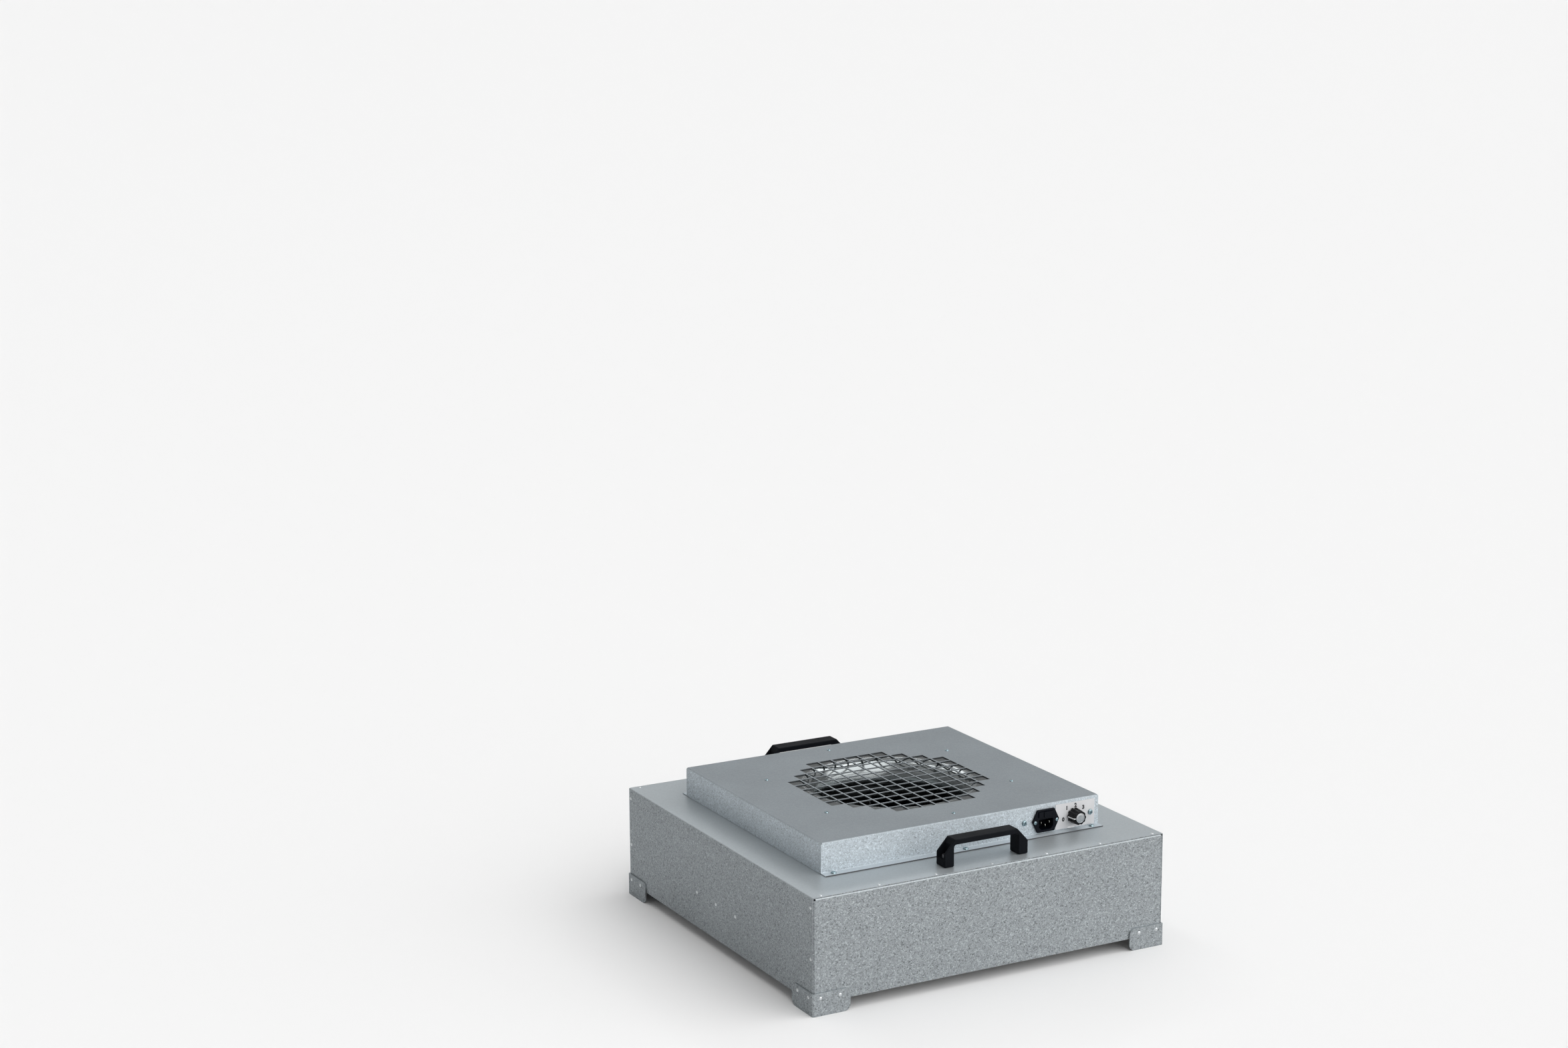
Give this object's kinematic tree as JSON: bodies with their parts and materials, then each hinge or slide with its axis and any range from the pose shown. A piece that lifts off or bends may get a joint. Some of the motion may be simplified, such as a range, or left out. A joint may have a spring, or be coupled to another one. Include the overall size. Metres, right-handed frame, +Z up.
{
  "type": "fan filter unit",
  "caption": "Square sheet-metal fan filter unit with a raised grilled intake cover, carrying handles, power inlet, speed knob and a pleated filter underneath.",
  "frame": {"origin": "on the floor, under the middle of the unit", "axes": "+Z up, the way the air comes in; -Y is the front with the power inlet and the speed knob; +X is to the right seen from the front"},
  "size_m": [0.5796, 0.5796, 0.213],
  "materials": {
    "galvanised_sheet": "fine-spangled galvanised sheet",
    "spun_steel": "bright spun and pressed galvanised steel",
    "cast_aluminium": "die-cast and turned aluminium",
    "turned_steel": "turned and zinc-plated steel",
    "black_nylon": "moulded black nylon, fine grain",
    "black_gloss_plastic": "moulded black plastic, semi-gloss",
    "label_film": "pale satin film",
    "filter_paper": "glass-fibre paper",
    "white_paint": "white powder coat",
    "foam_gasket": "closed-cell foam",
    "copper_winding": "varnished copper windings on a steel stack",
    "brass_pin": "plated brass",
    "fuse_glass": "clear glass tube with plated caps"
  },
  "bodies": {
    "housing": {"housing_wrapper": "galvanised_sheet", "front_panel": "galvanised_sheet", "rear_panel": "galvanised_sheet", "corner_bracket_front_left": "galvanised_sheet", "corner_bracket_front_right": "galvanised_sheet", "corner_bracket_rear_right": "galvanised_sheet", "corner_bracket_rear_left": "galvanised_sheet", "intake_cover": "galvanised_sheet", "inlet_ring": "spun_steel", "motor_bracket": "galvanised_sheet", "motor_base": "cast_aluminium", "stator_core": "copper_winding", "bearing_lower": "turned_steel", "bearing_upper": "turned_steel", "run_capacitor": "white_paint", "capacitor_clip": "turned_steel", "filter_rail_front": "cast_aluminium", "filter_rail_rear": "cast_aluminium", "filter_rail_left": "cast_aluminium", "filter_rail_right": "cast_aluminium", "filter_pleats": "filter_paper", "filter_guard": "white_paint", "filter_gasket": "foam_gasket", "filter_ledge_front": "galvanised_sheet", "filter_ledge_rear": "galvanised_sheet", "filter_ledge_left": "galvanised_sheet", "filter_ledge_right": "galvanised_sheet", "handle_front": "black_nylon", "handle_rear": "black_nylon", "handle_bolt_1": "turned_steel", "handle_bolt_2": "turned_steel", "handle_bolt_3": "turned_steel", "handle_bolt_4": "turned_steel", "electrics_box": "galvanised_sheet", "inlet_body": "black_gloss_plastic", "inlet_pin_live": "brass_pin", "inlet_pin_neutral": "brass_pin", "inlet_pin_earth": "brass_pin", "label_plate": "label_film", "switch_body": "black_gloss_plastic", "switch_nut": "turned_steel"},
    "fan": {"rotor_can": "cast_aluminium", "motor_shaft": "turned_steel", "impeller_backplate": "spun_steel", "impeller_shroud": "spun_steel", "impeller_blade_1": "spun_steel", "impeller_blade_2": "spun_steel", "impeller_blade_3": "spun_steel", "impeller_blade_4": "spun_steel", "impeller_blade_5": "spun_steel", "impeller_blade_6": "spun_steel", "impeller_blade_7": "spun_steel"},
    "knob": {"speed_knob": "black_gloss_plastic", "knob_cap": "cast_aluminium", "switch_spindle": "turned_steel"},
    "drawer": {"fuse_drawer": "black_gloss_plastic", "fuse": "fuse_glass"}
  },
  "joints": [
    {"name": "fan_spin", "type": "hinge", "parent": "housing", "child": "fan", "pos_m": [0, 0, 0.1], "axis": [0, 0, 1], "continuous": true},
    {"name": "speed_knob_turn", "type": "hinge", "parent": "housing", "child": "knob", "pos_m": [0.187, -0.2074, 0.1885], "axis": [0, 1, 0], "range_deg": [0, 135]},
    {"name": "fuse_drawer_slide", "type": "slide", "parent": "housing", "child": "drawer", "axis": [0, -1, 0], "range_m": [0, 0.014]}
  ]
}
